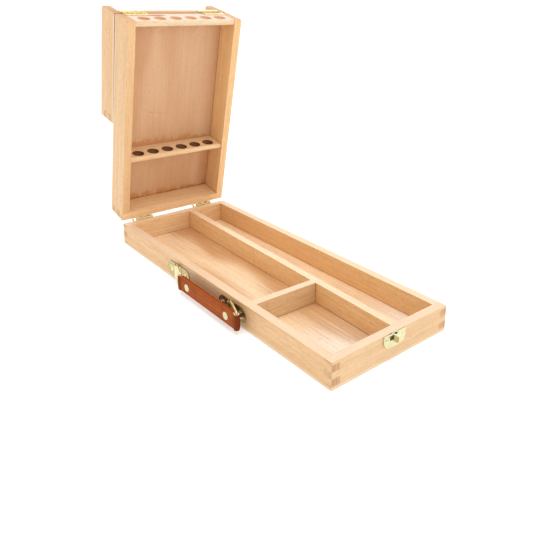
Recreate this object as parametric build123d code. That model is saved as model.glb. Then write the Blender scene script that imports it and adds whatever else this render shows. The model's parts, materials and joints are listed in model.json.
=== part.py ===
from build123d import *

import math
import os

# Brush box of beech with a lid in two sections. Millimetres, +Z up, +X towards the catch, -Y the handle side.
# The origin is the centre of the tray's underside. Every piece is drawn with the box shut, and the lid's pieces
# are then turned up about their hinges into the open pose.

# Carcass
box_length = 400.0
box_width = 152.0
board = 9.5
ply = 2.7
tray_height = 27.2
seam = 0.4
lid_height = 34.2
corner_radius = 0.8
box_height = tray_height + seam + lid_height
lid_low = tray_height + seam
panel_low = box_height - ply

# Finger joints: the carcass was glued up whole and then sawn into tray and lid
finger_width = 6.8
tray_first_shoulder = 4.2
lid_first_shoulder = 29.4

# The lid is sawn across into a long section at the hinge end and a short one at the catch end
split_x = 61.5
split_gap = 1.5
long_end_x = split_x - split_gap / 2
short_end_x = split_x + split_gap / 2

# Brush racks in the long section
rack_thickness = 7.0
end_rack_x = long_end_x - rack_thickness
middle_rack_x = -119.3
end_rack_recess = 1.2
middle_rack_recess = 2.0
rack_edge_radius = 2.4
brush_holes = 6
brush_hole_diameter = 15.0
brush_hole_pitch = 20.5
brush_hole_depth = 12.4
batten_height = 8.0

# Tray dividers, glued in together a little askew
divider_thickness = 8.5
divider_top = 26.0
divider_skew = -1.35
long_divider_front = 11.8
cross_divider_x = 73.05

# Lid hinges, on the outside of the hinge end
lid_axis_x = -box_length / 2 - 3.1
lid_axis_z = tray_height + seam / 2
lid_open_angle = 77.0
lid_leaf_thickness = 1.0
lid_leaf_height = 12.0
lid_leaf_inset = 1.2
lid_knuckle_radius = 2.1
lid_pin_radius = 1.05
lid_barrel_length = 22.5
lid_barrel_starts = (-56.2, 33.7)
lid_leaf_before = 7.5
lid_leaf_after = 1.0
lid_web_low = 1.8
lid_web_high = 0.5
lid_web_reach = 2.3
ear_width = 2.3
ear_offset = 5.0
ear_thickness = 0.9
ear_clearance = 0.08

# Section hinges, between the two lid sections at the panel
section_axis_z = box_height + 1.5
section_fold_angle = 180.8
section_leaf_thickness = 0.7
section_leaf_low = 52.0
section_leaf_top_gap = 1.6
section_knuckle_radius = 1.45
section_pin_radius = 0.7
section_barrel_length = 30.0
section_hinge_y = 52.5
knuckles_per_hinge = 5
knuckle_gap = 0.12
turning_clearance = 0.05

# Handle: two plates, two rings and a strap
handle_x = 54.0
handle_z = 13.6
plate_length = 48.0
plate_height = 17.4
plate_thickness = 1.0
channel_height = 4.5
channel_base = 5.8
channel_top = 2.6
channel_wall = 0.9
waist_x = 8.2
waist_radius = 3.0
waist_depth = 0.8
screw_x = 15.3
ring_axis_out = 2.2
ring_wire_radius = 1.0
ring_reach = 25.0
ring_height = 20.0
ring_bend_radius = 1.4
ring_rest_angle = 70.0
strap_height = 17.5
strap_half_thickness = 2.1
strap_loop_radius = 3.2
strap_eye_radius = 1.15
strap_edge_bevel = 0.5
rivet_x = 37.5
rivet_radius = 4.25
rivet_head = 0.6
rivet_shank_radius = 1.5

# Catch: keeper on the tray, plate and lever on the short section
catch_plate_thickness = 1.0
keeper_half_width = 14.5
keeper_top = 26.8
keeper_low = 12.9
keeper_corner_radius = 9.5
keeper_lip = 1.2
pocket_half_width = 3.5
pocket_low = 20.5
pocket_high = 27.0
pocket_reach = 8.6
pocket_wall = 0.8
pocket_mouth = 2.3
pocket_mouth_half_width = 1.9
window_width = 2.8
latch_half_width = 14.0
latch_low = 28.5
latch_high = 48.5
latch_corner_radius = 12.0
lever_half_width = 4.5
lever_low = 28.3
lever_high = 45.0
lever_reach = 9.0
lever_wall = 0.8
lever_finger_lip = 1.0
lever_raise_angle = 5.5
latch_pin_out = 5.0
latch_pin_z = 35.4
latch_pin_radius = 0.75
latch_side_gap = 0.1
tongue_half_width = 1.6
tongue_x = 2.25
tongue_thickness = 0.6
tongue_low = 24.0
tongue_foot = 1.25

# Nails and screws: head diameter, head height, shank diameter, shank length
hinge_nail = (3.4, 0.7, 1.5, 8.0)
catch_nail = (3.2, 0.8, 1.4, 7.5)
handle_screw = (8.0, 1.7, 3.2, 9.0)
section_nail_y = 9.0
section_nail_z = 55.5


def block(x0, x1, y0, y1, z0, z1):
    """A rectangular block between two opposite corners."""
    corner = (Align.MIN, Align.MIN, Align.MIN)
    return Pos(x0, y0, z0) * Box(x1 - x0, y1 - y0, z1 - z0, align=corner)


def rod_along_y(radius, x, z, y0, y1):
    """A round rod parallel to the box's width."""
    start = Plane(origin=(x, y0, z), x_dir=(1, 0, 0), z_dir=(0, 1, 0))
    return extrude(start * Circle(radius), y1 - y0)


def slab_in_xz(points, y0, y1):
    """A flat shape drawn in X and Z, with its thickness from y0 to y1."""
    outline = make_face(Polyline(*points, close=True))
    return extrude(Plane.XZ.offset(-y1) * outline, y1 - y0)


def slab_in_yz(points, x0, x1):
    """A flat shape drawn in Y and Z, with its thickness from x0 to x1."""
    outline = make_face(Polyline(*points, close=True))
    return extrude(Plane.YZ.offset(x0) * outline, x1 - x0)


def group(pieces):
    """Several separate solids in one node."""
    return Compound([solid for piece in pieces for solid in piece.solids()])


# ---- Carcass ----


def joint_levels(low, first_shoulder, high):
    """Heights where a corner joint passes from one board's fingers to the other's."""
    levels = [low]
    level = first_shoulder
    while level < high:
        levels.append(level)
        level += finger_width
    levels.append(high)
    return levels


def fingered_end(levels, shoulder, tip, starts_with_finger):
    """Points up the end of a board, out to the tip on a finger and back to the shoulder between."""
    points = []
    for band, (low, high) in enumerate(zip(levels, levels[1:])):
        is_finger = (band % 2 == 0) == starts_with_finger
        reach = tip if is_finger else shoulder
        points += [(reach, low), (reach, high)]
    return points


def end_board(levels, x0):
    """A short board across the box, whose fingers reach through both side boards."""
    half = box_width / 2
    right = fingered_end(levels, half - board, half, True)
    left = [(-y, z) for y, z in reversed(right)]
    return slab_in_yz(right + left, x0, x0 + board)


def side_board(levels, x_left, x_right, y0):
    """A long board. An end at the box's corner has fingers, and an end at the split is sawn square."""
    half = box_length / 2
    corner = fingered_end(levels, half - board, half, False)
    right = corner if x_right == half else [(x_right, levels[0]), (x_right, levels[-1])]
    left = corner if x_left == -half else [(-x_left, levels[0]), (-x_left, levels[-1])]
    left = [(-x, z) for x, z in reversed(left)]
    return slab_in_xz(right + left, y0, y0 + board)


def panel(x_left, x_right, z0, worn_side):
    """A plywood panel over the whole width, with its worn outer edges just rounded."""
    half = box_width / 2
    sheet = block(x_left, x_right, -half, half, z0, z0 + ply)
    rim = sheet.faces().sort_by(Axis.Z)[worn_side].edges()
    return fillet(rim, corner_radius)


def rack(x0, recess):
    """A drilled board across the long section, with its front edge rounded and a row of brush holes."""
    inner = box_width / 2 - board
    body = block(x0, x0 + rack_thickness, -inner, inner, lid_low + recess, panel_low)
    front = body.faces().sort_by(Axis.Z)[0].edges().filter_by(Axis.Y)
    body = fillet(front, rack_edge_radius)
    across = Plane.YZ.offset(x0)
    for hole in range(brush_holes):
        y = (hole - (brush_holes - 1) / 2) * brush_hole_pitch
        bore = Pos(y, lid_low + brush_hole_depth) * Circle(brush_hole_diameter / 2)
        body -= extrude(across * bore, rack_thickness)
    return body


def dividers():
    """The long divider and the cross divider that butts against it, fitted between the tray's boards."""
    inside_x = box_length / 2 - board
    inside_y = box_width / 2 - board
    room = block(-inside_x, inside_x, -inside_y, inside_y, ply, divider_top)
    turn = Rot(0, 0, divider_skew)
    back = long_divider_front + divider_thickness
    long_one = turn * block(-box_length, box_length, long_divider_front, back, ply, divider_top)
    right = cross_divider_x + divider_thickness
    cross_one = turn * block(cross_divider_x, right, -box_width, long_divider_front, ply, divider_top)
    return long_one & room, cross_one & room


# ---- Nails and screws ----


def screw(size):
    """A domed screw: its head stands on the plane z = 0 and its shank points down."""
    head_diameter, head_height, shank_diameter, shank_length = size
    head = head_diameter / 2
    shank = shank_diameter / 2
    point = shank_length - shank_diameter
    dome_radius = (head**2 + head_height**2) / (2 * head_height)
    crown_height = head_height - dome_radius + math.sqrt(dome_radius**2 - (head / 2) ** 2)
    dome = ThreePointArc((head, 0), (head / 2, crown_height), (0, head_height))
    rest = Polyline((0, head_height), (0, -shank_length), (shank, -point), (shank, 0), (head, 0))
    profile = make_face([dome, rest])
    return revolve(Plane.XZ * profile, Axis.Z)


def nail(size):
    """A small nail, whose head is hammered into a low cone with a flat on top. It stands as the screw does."""
    head_diameter, head_height, shank_diameter, shank_length = size
    head = head_diameter / 2
    shank = shank_diameter / 2
    point = shank_length - shank_diameter
    flat = head * 0.62
    points = [
        (0, head_height),
        (0, -shank_length),
        (shank, -point),
        (shank, 0),
        (head, 0),
        (flat, head_height),
    ]
    return revolve(Plane.XZ * make_face(Polyline(*points, close=True)), Axis.Z)


def cross_recess():
    """The cross-shaped driver recess in a screw's dome."""
    high = handle_screw[1] + 1
    low = handle_screw[1] * 0.42
    arm = 2.2
    slot = 0.45
    across = block(-arm, arm, -slot, slot, low, high)
    along = block(-slot, slot, -arm, arm, low, high)
    return across + along


def countersunk_nail(head_depth):
    """A nail whose cone head is flush with its leaf: the head's top is at z = 0 and the shank points down."""
    head = 1.5
    shank = 0.65
    length = 6.0
    points = [(0, 0), (head, 0), (shank, -head_depth), (shank, -length), (0, -length - shank)]
    return revolve(Plane.XZ * make_face(Polyline(*points, close=True)), Axis.Z)


def facing(direction, x, y, z):
    """A plane at a point, whose normal is the way that a nail's head looks."""
    return Plane(origin=(x, y, z), x_dir=(0, 0, 1), z_dir=direction)


# ---- Hinges ----


def knuckles(start, length, own):
    """The stretches of a hinge barrel that belong to one leaf: every second knuckle."""
    pitch = length / knuckles_per_hinge
    wanted = range(0 if own == "even" else 1, knuckles_per_hinge, 2)
    return [(start + k * pitch + knuckle_gap / 2, start + (k + 1) * pitch - knuckle_gap / 2) for k in wanted]


def lid_leaf(start, upper):
    """One leaf of a lid hinge. It lies on the box's end and its knuckles stand out from it on webs.

    The tray's leaf, the lower one, also has the stop ear."""
    face = -box_length / 2
    side = 1 if upper else -1
    y0 = start - lid_leaf_before
    y1 = start + lid_barrel_length + lid_leaf_after
    near = lid_axis_z + side * lid_leaf_inset
    far = near + side * lid_leaf_height
    leaf = block(face - lid_leaf_thickness, face, y0, y1, min(near, far), max(near, far))
    far_corners = leaf.edges().filter_by(Axis.X).sort_by(Axis.Z)
    leaf = fillet(far_corners[-2:] if upper else far_corners[:2], 2.0)
    for low, high in knuckles(start, lid_barrel_length, "odd" if upper else "even"):
        heights = sorted([lid_axis_z + side * lid_web_low, lid_axis_z + side * lid_web_high])
        leaf += block(face - lid_web_reach, face, low, high, *heights)
        leaf += rod_along_y(lid_knuckle_radius, lid_axis_x, lid_axis_z, low, high)
    hole = lid_pin_radius + (turning_clearance if upper else 0)
    leaf -= rod_along_y(hole, lid_axis_x, lid_axis_z, start - 1, start + lid_barrel_length + 1)
    return leaf if upper else leaf + stop_ear(start)


def stop_ear(start):
    """A strip bent out at 45 degrees from the tray's leaf. The open lid's leaf comes to rest on its tip."""
    angle = math.radians(lid_open_angle)
    outer = lid_axis_x + 3.1
    knee = -1.1
    reach = lid_knuckle_radius - ear_clearance
    line = 3.1 + knee
    tip_z = (reach - line * math.cos(angle)) / (math.sin(angle) - math.cos(angle))
    tip_x = line - tip_z
    step = ear_thickness / math.sqrt(2)
    inner = 3.1 - lid_leaf_thickness
    rise = line - 2 * step - inner
    shape = [(3.1, -2.2), (3.1, knee), (tip_x, tip_z), (tip_x - step, tip_z - step), (inner, rise), (inner, -2.2)]
    points = [(outer - 3.1 + x, lid_axis_z + z) for x, z in shape]
    middle = start - ear_offset
    return slab_in_xz(points, middle - ear_width / 2, middle + ear_width / 2)


def lid_hinge_pin(start):
    """The pin of a lid hinge, with a small head at each end of the barrel."""
    end = start + lid_barrel_length
    pin = rod_along_y(lid_pin_radius, lid_axis_x, lid_axis_z, start - 0.6, end + 0.6)
    for low, high in ((start - 1.0, start), (end, end + 1.0)):
        pin += rod_along_y(lid_knuckle_radius - 0.5, lid_axis_x, lid_axis_z, low, high)
    return pin


def lid_leaf_nails(upper):
    """Three nails through each leaf of both lid hinges, into the end grain of the end board."""
    side = 1 if upper else -1
    nails = []
    for start in lid_barrel_starts:
        middle = start + lid_barrel_length / 2
        for along, away in ((-8.5, 5.0), (0.0, 9.0), (8.5, 5.0)):
            z = lid_axis_z + side * (lid_leaf_inset + away)
            seat = facing((-1, 0, 0), -box_length / 2 - lid_leaf_thickness, middle + along, z)
            nails.append(seat * nail(hinge_nail))
    return group(nails)


def section_leaf(middle, inner):
    """One leaf of a section hinge, let in between the two sections, with its knuckles above the panels."""
    start = middle - section_barrel_length / 2
    end = start + section_barrel_length
    x0 = long_end_x if inner else short_end_x - section_leaf_thickness
    x1 = x0 + section_leaf_thickness
    top = section_axis_z - section_leaf_top_gap
    leaf = block(x0, x1, start, end, section_leaf_low, top)
    low_corners = leaf.edges().filter_by(Axis.X).sort_by(Axis.Z)[:2]
    leaf = fillet(low_corners, 1.5)
    for low, high in knuckles(start, section_barrel_length, "even" if inner else "odd"):
        leaf += block(x0, x1, low, high, top, section_axis_z)
        leaf += rod_along_y(section_knuckle_radius, split_x, section_axis_z, low, high)
    hole = section_pin_radius + (0 if inner else turning_clearance)
    return leaf - rod_along_y(hole, split_x, section_axis_z, start - 1, end + 1)


def section_pin(middle):
    """The pin of a section hinge, cut flush with its barrel."""
    half = section_barrel_length / 2 - knuckle_gap / 2
    return rod_along_y(section_pin_radius, split_x, section_axis_z, middle - half, middle + half)


def section_nails(inner):
    """Flush nails through one set of section leaves, into the rack or into the batten."""
    direction = (1, 0, 0) if inner else (-1, 0, 0)
    x = long_end_x + section_leaf_thickness if inner else short_end_x - section_leaf_thickness
    nails = []
    for middle in (-section_hinge_y, section_hinge_y):
        for along in (-section_nail_y, section_nail_y):
            seat = facing(direction, x, middle + along, section_nail_z)
            nails.append(seat * countersunk_nail(section_leaf_thickness))
    return group(nails)


# ---- Handle ----


def handle_plate(middle):
    """A pressed plate: two rounded wings with screw holes, and a channel between them for the ring's leg."""
    front = -box_width / 2
    outline = SlotOverall(plate_length, plate_height)
    for x in (-waist_x, waist_x):
        for side in (-1, 1):
            notch_y = side * (plate_height / 2 + waist_radius - waist_depth)
            outline -= Pos(x, notch_y) * Circle(waist_radius)
    flat = extrude(Plane.XZ.offset(-front) * (Pos(middle, handle_z) * outline), plate_thickness)
    low = handle_z - plate_height / 2
    ridge = extrude(Pos(middle, front, low) * channel_outline(), plate_height)
    hollow = extrude(Pos(middle, front, low) * channel_hollow(), plate_height)
    plate = flat + ridge - hollow
    for x in (-screw_x, screw_x):
        seat = facing((0, -1, 0), middle + x, front - plate_thickness, handle_z)
        plate -= seat * screw(handle_screw)
    return plate


def channel_outline():
    """The channel's outside in plan: a flat-topped hump that runs out into the plate in smooth curves."""
    root = 0.2
    foot = channel_base + 2.5
    points = [
        (-foot, -root),
        (-foot, -plate_thickness),
        (-channel_base, -plate_thickness),
        (-channel_top, -channel_height),
        (channel_top, -channel_height),
        (channel_base, -plate_thickness),
        (foot, -plate_thickness),
        (foot, -root),
    ]
    face = make_face(Polyline(*points, close=True))
    bends = [v for v in face.vertices() if abs(v.X) < channel_base + 0.1]
    return fillet(bends, 1.4)


def channel_hollow():
    """The space in the channel, open at its top, at its bottom and against the board."""
    base = channel_base - channel_wall - 0.3
    top = channel_top - channel_wall
    depth = channel_height - channel_wall
    face = make_face(Polyline((-base, 0), (-top, -depth), (top, -depth), (base, 0), close=True))
    return fillet([v for v in face.vertices() if v.Y < -1], 1.0)


def screws():
    """The domed screws of both handle plates."""
    made = []
    for middle in (-handle_x, handle_x):
        for x in (-screw_x, screw_x):
            seat = facing((0, -1, 0), middle + x, -box_width / 2 - plate_thickness, handle_z)
            made.append(seat * (screw(handle_screw) - cross_recess()))
    return group(made)


def ring(middle):
    """A rectangle of round wire. One leg turns in the plate's channel and the other carries the strap."""
    half = ring_height / 2
    corners = [(0, 0, -half), (0, -ring_reach, -half), (0, -ring_reach, half), (0, 0, half)]
    path = FilletPolyline(*corners, radius=ring_bend_radius, close=True)
    wire = sweep((path ^ 0) * Circle(ring_wire_radius), path=path)
    axis_y = -box_width / 2 - ring_axis_out
    return Pos(middle, axis_y, handle_z) * Rot(0, 0, ring_rest_angle) * wire


def strap_place():
    """Where the strap's middle lies when both rings are at their rest angle."""
    angle = math.radians(ring_rest_angle)
    x = ring_reach * math.sin(angle)
    y = -box_width / 2 - ring_axis_out - ring_reach * math.cos(angle)
    return Pos(x, y, handle_z)


def strap():
    """Two thicknesses of leather in plan, opening at each end into a loop round the ring's bar."""
    outline = Rectangle(2 * handle_x, 2 * strap_half_thickness)
    for x in (-handle_x, handle_x):
        outline += Pos(x, 0) * Circle(strap_loop_radius)
    necks = [v for v in outline.vertices() if abs(abs(v.Y) - strap_half_thickness) < 0.01]
    outline = fillet(necks, 4.0)
    for x in (-handle_x, handle_x):
        outline -= Pos(x, 0) * Circle(strap_eye_radius)
    body = extrude(Pos(0, 0, -strap_height / 2) * outline, strap_height)
    long_edges = body.edges().filter_by(Axis.X)
    body = chamfer(long_edges, strap_edge_bevel)
    for x in (-rivet_x, rivet_x):
        body -= rivet(x)
    return strap_place() * body


def rivet(x):
    """A flat brass rivet through the strap, with a disc at each face."""
    rim = 0.3
    outward = Plane(origin=(x, 0, 0), x_dir=(1, 0, 0), z_dir=(0, -1, 0))
    shank = Cylinder(rivet_shank_radius, 2 * strap_half_thickness)
    disc = Cylinder(rivet_radius, rivet_head, align=(Align.CENTER, Align.CENTER, Align.MIN))
    disc = chamfer(disc.edges().sort_by(Axis.Z)[-1], rim)
    front = Pos(0, 0, strap_half_thickness) * disc
    back = Rot(180, 0, 0) * front
    return outward * (shank + front + back)


# ---- Catch ----


def keeper():
    """The keeper: a D-shaped plate with a lip along its top edge and a pocket for the lever's tongue."""
    face = box_length / 2
    front = face + catch_plate_thickness
    half = keeper_half_width
    plate = block(face, front, -half, half, keeper_low, keeper_top)
    corners = plate.edges().filter_by(Axis.X).sort_by(Axis.Z)
    plate = fillet(corners[:2], keeper_corner_radius)
    lip_height = 0.8
    plate += block(face, front + keeper_lip, -half, half, keeper_top - lip_height, keeper_top)
    outer = block(face, face + pocket_reach, -pocket_half_width, pocket_half_width, pocket_low, pocket_high)
    turned = outer.edges().filter_by(Axis.Y).sort_by(Axis.X)[-2:].sort_by(Axis.Z)[0]
    outer = fillet(turned, 2.4)
    plate += outer
    inner = pocket_half_width - pocket_wall
    reach = face + pocket_reach - pocket_wall
    low = pocket_low + pocket_wall
    hollow = block(front, reach, -inner, inner, low, pocket_high - pocket_wall)
    deep = hollow.edges().filter_by(Axis.Y).sort_by(Axis.X)[-2:].sort_by(Axis.Z)[0]
    plate -= fillet(deep, 1.6)
    mouth = pocket_mouth_half_width
    plate -= block(front, front + pocket_mouth, -mouth, mouth, low, pocket_high)
    side = -pocket_half_width
    plate -= block(face, front, side - window_width, side, pocket_low, keeper_top - 1.2)
    for y in (-10.7, 10.7):
        plate -= facing((1, 0, 0), front, y, 21.5) * nail(catch_nail)
    return plate


def catch_nails(heights_and_sides):
    """Domed nails through a catch plate, into the end board behind it."""
    x = box_length / 2 + catch_plate_thickness
    return group([facing((1, 0, 0), x, y, z) * nail(catch_nail) for y, z in heights_and_sides])


keeper_nail_places = ((-10.7, 21.5), (10.7, 21.5))
latch_nail_places = ((-10.4, 33.0), (10.4, 33.0))


def latch_plate():
    """The plate that carries the lever: an upturned D with two rounded ears for the pin."""
    face = box_length / 2
    front = face + catch_plate_thickness
    half = latch_half_width
    plate = block(face, front, -half, half, latch_low, latch_high)
    corners = plate.edges().filter_by(Axis.X).sort_by(Axis.Z)
    plate = fillet(corners[-2:], latch_corner_radius)
    pin_x = face + latch_pin_out
    inner = lever_half_width + latch_side_gap
    ear_radius = 2.1
    for side in (-1, 1):
        y0, y1 = sorted([side * inner, side * (inner + 0.8)])
        low = latch_pin_z - ear_radius
        tab = block(face, pin_x, y0, y1, low - 1.5, latch_pin_z + ear_radius)
        tab += rod_along_y(ear_radius, pin_x, latch_pin_z, y0, y1)
        tab += slab_in_xz([(face, low - 1.5), (pin_x, low - 1.5), (pin_x, low)], y0, y1)
        plate += tab
    plate -= rod_along_y(latch_pin_radius, pin_x, latch_pin_z, -half, half)
    for y, z in latch_nail_places:
        plate -= facing((1, 0, 0), front, y, z) * nail(catch_nail)
    return plate


def latch_pin():
    """The lever's pin, fast in the plate's ears and turned over a little at each end."""
    x = box_length / 2 + latch_pin_out
    half = lever_half_width + latch_side_gap + 0.8
    pin = rod_along_y(latch_pin_radius, x, latch_pin_z, -half, half)
    pin += rod_along_y(latch_pin_radius + 0.4, x, latch_pin_z, -half - 0.4, -half)
    return pin + rod_along_y(latch_pin_radius + 0.4, x, latch_pin_z, half, half + 0.4)


def latch_lever():
    """The lever: a folded cover over the pin, with a finger lip on top and a tongue for the keeper."""
    face = box_length / 2
    front = face + lever_reach
    back = face + catch_plate_thickness + 0.3
    heel = face + 2.9
    wall = lever_wall
    half = lever_half_width
    side = [(back, lever_high), (front, lever_high), (front, lever_low), (heel, lever_low), (back, latch_pin_z)]
    cover = slab_in_xz(side, -half, half)
    bends = cover.edges().filter_by(Axis.Z).sort_by(Axis.X)[-2:]
    bends += cover.edges().filter_by(Axis.Y).sort_by(Axis.X)[-2:].sort_by(Axis.Z)[-1:]
    cover = fillet(bends, 1.2)
    hollow = block(back - 1, front - wall, wall - half, half - wall, lever_low - 1, lever_high - wall)
    cover -= hollow
    lip = block(front - wall, front + lever_finger_lip, 1.2 - half, half - 1.2, lever_high - wall, lever_high)
    cover += lip
    cover += tongue(face, front - wall / 2)
    pin_x = face + latch_pin_out
    return cover - rod_along_y(latch_pin_radius + turning_clearance, pin_x, latch_pin_z, -half - 1, half + 1)


def tongue(face, root_x):
    """The tongue inside the cover: a web back from its front wall, then down to a foot that hooks outwards."""
    x0 = face + tongue_x
    x1 = x0 + tongue_thickness
    web_low = 30.6
    web_high = 31.4
    foot = x1 + tongue_foot
    toe = tongue_low + 0.4
    heel = tongue_low + 1.2
    points = [
        (x0, web_high),
        (root_x, web_high),
        (root_x, web_low),
        (x1, web_low),
        (x1, heel),
        (foot, heel),
        (foot, toe),
        (x1, tongue_low),
        (x0, tongue_low),
    ]
    return slab_in_xz(points, -tongue_half_width, tongue_half_width)


# ---- Assembly ----


def tray():
    """The tray and everything fixed to it."""
    half_length = box_length / 2
    half_width = box_width / 2
    levels = joint_levels(ply, tray_first_shoulder, tray_height)
    long_one, cross_one = dividers()
    front_leaf = lid_leaf(lid_barrel_starts[0], False)
    back_leaf = lid_leaf(lid_barrel_starts[1], False)
    nails = lid_leaf_nails(False)
    return {
        "tray_front_board": side_board(levels, -half_length, half_length, -half_width),
        "tray_back_board": side_board(levels, -half_length, half_length, half_width - board),
        "tray_hinge_end_board": end_board(levels, -half_length),
        "tray_latch_end_board": end_board(levels, half_length - board),
        "tray_bottom": panel(-half_length, half_length, 0, 0),
        "long_divider": long_one,
        "cross_divider": cross_one,
        "lid_hinge_front_tray_leaf": front_leaf - nails,
        "lid_hinge_back_tray_leaf": back_leaf - nails,
        "lid_hinge_tray_nails": nails,
        "lid_hinge_pins": group([lid_hinge_pin(start) for start in lid_barrel_starts]),
        "handle_plate_left": handle_plate(-handle_x),
        "handle_plate_right": handle_plate(handle_x),
        "handle_screws": screws(),
        "keeper_plate": keeper(),
        "keeper_nails": catch_nails(keeper_nail_places),
    }


def long_section():
    """The lid's long section, at the hinge end, with both brush racks."""
    half_length = box_length / 2
    half_width = box_width / 2
    levels = joint_levels(lid_low, lid_first_shoulder, panel_low)
    nails = lid_leaf_nails(True)
    flush_nails = section_nails(True)
    pins = [section_pin(middle) for middle in (-section_hinge_y, section_hinge_y)]
    return {
        "lid_long_front_board": side_board(levels, -half_length, long_end_x, -half_width),
        "lid_long_back_board": side_board(levels, -half_length, long_end_x, half_width - board),
        "lid_hinge_end_board": end_board(levels, -half_length),
        "lid_long_panel": panel(-half_length, long_end_x, panel_low, -1),
        "end_rack": rack(end_rack_x, end_rack_recess),
        "middle_rack": rack(middle_rack_x, middle_rack_recess),
        "lid_hinge_front_lid_leaf": lid_leaf(lid_barrel_starts[0], True) - nails,
        "lid_hinge_back_lid_leaf": lid_leaf(lid_barrel_starts[1], True) - nails,
        "lid_hinge_lid_nails": nails,
        "section_hinge_front_inner_leaf": section_leaf(-section_hinge_y, True) - flush_nails,
        "section_hinge_back_inner_leaf": section_leaf(section_hinge_y, True) - flush_nails,
        "section_hinge_inner_nails": flush_nails,
        "section_hinge_pins": group(pins),
    }


def short_section():
    """The lid's short section, at the catch end, which folds back over the long one."""
    half_length = box_length / 2
    half_width = box_width / 2
    inner = half_width - board
    levels = joint_levels(lid_low, lid_first_shoulder, panel_low)
    flush_nails = section_nails(False)
    batten_end = short_end_x + rack_thickness
    batten_low = panel_low - batten_height
    return {
        "lid_short_front_board": side_board(levels, short_end_x, half_length, -half_width),
        "lid_short_back_board": side_board(levels, short_end_x, half_length, half_width - board),
        "lid_latch_end_board": end_board(levels, half_length - board),
        "lid_short_panel": panel(short_end_x, half_length, panel_low, -1),
        "hinge_batten": block(short_end_x, batten_end, -inner, inner, batten_low, panel_low),
        "section_hinge_front_outer_leaf": section_leaf(-section_hinge_y, False) - flush_nails,
        "section_hinge_back_outer_leaf": section_leaf(section_hinge_y, False) - flush_nails,
        "section_hinge_outer_nails": flush_nails,
        "latch_plate": latch_plate(),
        "latch_nails": catch_nails(latch_nail_places),
        "latch_pin": latch_pin(),
    }


def lid_opened(shape):
    """Turns a piece of the shut lid up about the lid hinges."""
    return shape.rotate(Axis((lid_axis_x, 0, lid_axis_z), (0, 1, 0)), -lid_open_angle)


def section_folded(shape):
    """Turns a piece of the shut short section back over the long one, before the lid is turned up."""
    return shape.rotate(Axis((split_x, 0, section_axis_z), (0, 1, 0)), -section_fold_angle)


def lever_raised(shape):
    """Lifts the lever off the keeper."""
    pin_x = box_length / 2 + latch_pin_out
    return shape.rotate(Axis((pin_x, 0, latch_pin_z), (0, 1, 0)), lever_raise_angle)


def main():
    os.makedirs("parts", exist_ok=True)
    nodes = tray()
    nodes["ring_left"] = ring(-handle_x)
    nodes["ring_right"] = ring(handle_x)
    nodes["leather_strap"] = strap()
    nodes["strap_rivets"] = strap_place() * group([rivet(-rivet_x), rivet(rivet_x)])
    for name, shape in long_section().items():
        nodes[name] = lid_opened(shape)
    for name, shape in short_section().items():
        nodes[name] = lid_opened(section_folded(shape))
    nodes["latch_lever"] = lid_opened(section_folded(lever_raised(latch_lever())))
    for name, shape in nodes.items():
        export_step(shape, f"parts/{name}.step")


main()
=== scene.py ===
import json
import math

import bpy
import numpy as np
from bpy.props import FloatProperty, FloatVectorProperty, IntProperty, PointerProperty
from mathutils import Euler, Matrix, Vector


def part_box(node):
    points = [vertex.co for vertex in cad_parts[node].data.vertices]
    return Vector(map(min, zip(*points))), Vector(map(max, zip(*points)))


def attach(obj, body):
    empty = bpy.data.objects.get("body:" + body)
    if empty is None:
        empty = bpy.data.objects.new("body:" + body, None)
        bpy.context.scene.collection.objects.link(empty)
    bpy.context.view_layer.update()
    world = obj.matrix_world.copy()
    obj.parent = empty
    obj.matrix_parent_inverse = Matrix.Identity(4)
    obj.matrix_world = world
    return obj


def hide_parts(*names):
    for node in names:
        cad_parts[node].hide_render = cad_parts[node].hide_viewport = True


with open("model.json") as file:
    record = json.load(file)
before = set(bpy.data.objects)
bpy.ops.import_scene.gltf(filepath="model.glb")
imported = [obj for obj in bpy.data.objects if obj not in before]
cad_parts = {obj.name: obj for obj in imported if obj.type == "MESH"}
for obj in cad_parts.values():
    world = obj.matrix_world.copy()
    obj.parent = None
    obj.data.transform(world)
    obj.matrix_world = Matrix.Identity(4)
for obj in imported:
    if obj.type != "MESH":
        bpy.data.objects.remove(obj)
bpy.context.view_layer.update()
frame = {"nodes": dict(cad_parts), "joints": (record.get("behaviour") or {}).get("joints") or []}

bl_info = {
    "name": "Brush Box",
    "version": (1, 0, 0),
    "blender": (4, 5, 0),
    "location": "3D View > Sidebar > Brush Box",
    "description": "Finishes a beech brush box with a folding lid, brass fittings and a leather handle",
    "category": "Object",
}

JOINTS = {joint["name"]: joint for joint in frame["joints"]}


# ---- Places in the shut box ----
#
# The lid stands open, so a board's grain is worked out where the board would be with the box shut. There
# the tray and the lid, which were sawn from one carcass, share their grain across the saw cut.


def turn_about(joint_name):
    """The turn of a joint from rest to the end of its range, as a matrix about its axis."""
    joint = JOINTS[joint_name]
    place = Vector(joint["pos_m"])
    swing = math.radians(joint["range_deg"][1])
    turn = Matrix.Rotation(swing, 4, Vector(joint["axis"]))
    return Matrix.Translation(place) @ turn @ Matrix.Translation(-place)


SHUT = {
    "tray": Matrix.Identity(4),
    "long_section": turn_about("lid_hinge"),
    "short_section": turn_about("lid_hinge") @ turn_about("lid_fold"),
}


# ---- Shader expressions ----


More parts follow.
